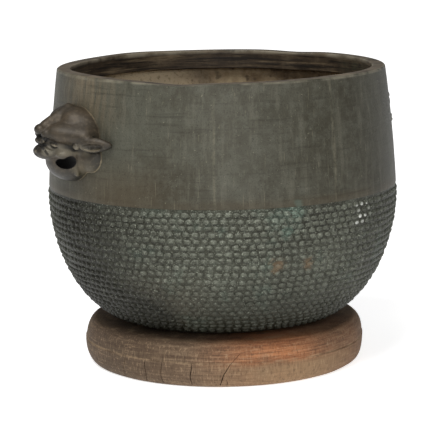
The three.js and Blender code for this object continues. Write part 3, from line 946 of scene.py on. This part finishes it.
def closeness(places, side):
    """How closely the face folds round each place: outside it (side 1) in folds, inside it (-1) at
    edges.
    """
    slope = slope_of_face(places)
    slope /= np.maximum(np.linalg.norm(slope, axis=1), 1e-6)[:, None]
    closed = np.zeros(len(places))
    for reach in (1.5, 3.0, 5.0):
        away = side * distance_to_face(places + side * slope * reach)
        closed += np.clip(1 - away / reach, 0, 1) / 3
    return closed


def mouth_tunnel():
    start_fresh()
    bpy.ops.mesh.primitive_cylinder_add(vertices=40, radius=1, depth=2)
    tunnel = new_piece("tunnel_cutter")
    middle = -float(wall_radius(MASK_CENTRE_HEIGHT)) - TUNNEL_REACH
    tunnel.matrix_world = (
        Matrix.Translation((middle, 0, SEAT + MASK_CENTRE_HEIGHT + TUNNEL_RISE))
        @ Matrix.Diagonal((TUNNEL_WIDTH / 2, 0.1, TUNNEL_HEIGHT / 2, 1))
        @ Matrix.Rotation(math.pi / 2, 4, "X")
    )
    settle(tunnel)
    return tunnel


def bowl_space():
    """The room that the bowl takes, grown by the masks' gap."""
    outside = [(radius + MASK_GAP, height + SEAT) for radius, height in outside_points()]
    top = SEAT + BOWL_HEIGHT + 0.1
    return turned("bowl_cutter", [(0, SEAT), *outside, (outside[-1][0], top), (0, top)], 160)


def cut_away(piece, cutter):
    take(piece)
    modifier = piece.modifiers.new("Cut", "BOOLEAN")
    modifier.object = cutter
    modifier.operation = "DIFFERENCE"
    modifier.solver = "EXACT"
    bpy.ops.object.modifier_apply(modifier=modifier.name)
    bpy.data.objects.remove(cutter)


def make_masks():
    left = make_mask()
    right = left.copy()
    right.data = left.data.copy()
    right.name = "mask_right"
    right.data.name = "mask_right"
    bpy.context.scene.collection.objects.link(right)
    right.matrix_world = Matrix.Rotation(math.pi, 4, "Z")
    settle(right)
    for mask, node in ((left, "lion_mask_left"), (right, "lion_mask_right")):
        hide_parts(node)
        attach(mask, "root")


# The stand


def stand_profile():
    turns = np.linspace(0, math.pi / 2, 12)
    bulge = 2 / STAND_SIDE_FULLNESS
    low = [
        (
            STAND_FOOT_RADIUS + (STAND_RADIUS - STAND_FOOT_RADIUS) * math.sin(t) ** bulge,
            ARRIS_HEIGHT * (1 - math.cos(t) ** bulge),
        )
        for t in turns
    ]
    foot = [(0, 0), (60 * MM, 0), (120 * MM, 0)]
    shoulder_radius = STAND_RADIUS - ARRIS_BEVEL
    shoulder_height = ARRIS_HEIGHT + ARRIS_BEVEL
    shoulder = [
        (
            shoulder_radius - (shoulder_radius - STAND_TOP_RADIUS) * (1 - math.cos(t)),
            shoulder_height + (STAND_HEIGHT - shoulder_height) * math.sin(t),
        )
        for t in turns
    ]
    top = [(radius, STAND_HEIGHT) for radius in (150 * MM, 100 * MM, 50 * MM, 0)]
    return [*foot, *low, *shoulder, *top]


def side_radius(height):
    """The stand's radius at a height on its side."""
    side = [point for point in stand_profile() if point[0] > STAND_TOP_RADIUS - 0.1 * MM]
    return float(np.interp(height, [point[1] for point in side], [point[0] for point in side]))


def add_crack(run):
    """A thin, wandering wedge through a run of (degrees, height, width) points, for cutting."""
    start_fresh()
    bpy.ops.mesh.primitive_circle_add(vertices=3, radius=1 * MM, fill_type="NGON")
    crack = new_piece("crack_cutter")
    bpy.ops.object.mode_set(mode="EDIT")
    bpy.ops.mesh.select_all(action="SELECT")
    for _ in run[1:]:
        bpy.ops.mesh.extrude_region_move(TRANSFORM_OT_translate={"value": (0, 0, 1 * MM)})
    bpy.ops.object.mode_set(mode="OBJECT")
    for corner in crack.data.vertices:
        angle, height, width = run[round(corner.co.z / MM)]
        place = 0 if corner.co.y > 0.5 * MM else 1 if corner.co.x < 0 else 2
        out, aside = ((-CRACK_DEPTH, 0), (3 * MM, 1), (3 * MM, -1))[place]
        radius = side_radius(height * MM) + out
        turn = math.radians(angle) + aside * width * 0.8 * MM / radius
        corner.co = (radius * math.cos(turn), radius * math.sin(turn), height * MM)
    take(crack)
    bpy.ops.object.mode_set(mode="EDIT")
    bpy.ops.mesh.select_all(action="SELECT")
    bpy.ops.mesh.normals_make_consistent(inside=False)
    bpy.ops.object.mode_set(mode="OBJECT")
    return crack


def make_stand():
    stand = turned("turned_stand", stand_profile(), 240)
    places = corners_of(stand)
    angle = np.arctan2(places[:, 1], places[:, 0])
    radius = np.hypot(places[:, 0], places[:, 1])
    wear = 0.5 * np.sin(5 * angle + 1) * np.sin(places[:, 2] * 70)
    wear += 0.35 * np.sin(13 * angle + places[:, 2] * 55)
    wear *= MM * (radius > 160 * MM) * (places[:, 2] > 1 * MM)
    worn = (radius + wear) / np.maximum(radius, 1e-6)
    places[:, :2] *= worn[:, None]
    set_corners(stand, places)
    cut_away(stand, join("cracks", [add_crack(run) for run in CRACKS]))
    dress(stand, weathered_wood())
    take(stand)
    bpy.ops.object.shade_smooth_by_angle(angle=FLAT_SHADED_FROM)
    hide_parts("stand")
    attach(stand, "root")


# The studio


CAMERA_PITCH = math.radians(10.2)
CAMERA_ROLL = math.radians(-0.8)
CAMERA_TURN = math.radians(-34)
CAMERA_DISTANCE = 2.737
CAMERA_TARGET = Vector((-0.009, 0, 0.1855))
CAMERA_LENS = 174.67


def place_camera():
    ahead = Vector((0, math.cos(CAMERA_PITCH), -math.sin(CAMERA_PITCH)))
    level = Vector((1, 0, 0))
    top = Vector((0, math.sin(CAMERA_PITCH), math.cos(CAMERA_PITCH)))
    right = level * math.cos(CAMERA_ROLL) + top * math.sin(CAMERA_ROLL)
    up = top * math.cos(CAMERA_ROLL) - level * math.sin(CAMERA_ROLL)
    place = CAMERA_TARGET - ahead * CAMERA_DISTANCE
    columns = Matrix((right, up, -ahead)).transposed().to_4x4()
    start_fresh()
    bpy.ops.object.camera_add()
    camera = bpy.context.active_object
    camera.matrix_world = Matrix.Rotation(CAMERA_TURN, 4, "Z") @ Matrix.Translation(place) @ columns
    camera.data.sensor_width = 36
    camera.data.lens = CAMERA_LENS
    camera.data.clip_end = 50
    bpy.context.scene.camera = camera


def soft_light(name, place, size, power, target=(0, 0, 0.2)):
    """A square softbox, its place given as seen from the camera: right, away and up."""
    start_fresh()
    bpy.ops.object.light_add(type="AREA")
    light = bpy.context.active_object
    light.name = name
    light.data.size = size
    light.data.energy = power
    spot = Matrix.Rotation(CAMERA_TURN, 4, "Z") @ Vector(place)
    turn = (Vector(target) - spot).to_track_quat("-Z", "Y")
    light.matrix_world = Matrix.Translation(spot) @ turn.to_matrix().to_4x4()


def light_studio():
    world = bpy.data.worlds.new("studio")
    world.use_nodes = True
    world.node_tree.nodes["Background"].inputs["Color"].default_value = (1, 1, 1, 1)
    world.node_tree.nodes["Background"].inputs["Strength"].default_value = 0.3
    bpy.context.scene.world = world
    soft_light("key", (-0.6, -1.4, 2.5), 1.3, 54)
    soft_light("front fill", (0.3, -2.7, 1.0), 1.2, 19)
    bpy.context.scene.view_settings.view_transform = "Standard"


def lay_floor():
    start_fresh()
    bpy.ops.mesh.primitive_plane_add(size=40)
    floor = new_piece("floor")
    bpy.ops.object.mode_set(mode="EDIT")
    bpy.ops.mesh.subdivide(number_cuts=3)
    bpy.ops.object.mode_set(mode="OBJECT")
    dress(floor, pale_floor())


place_camera()
light_studio()
lay_floor()
make_stand()
make_bowl()
make_bosses()
make_masks()
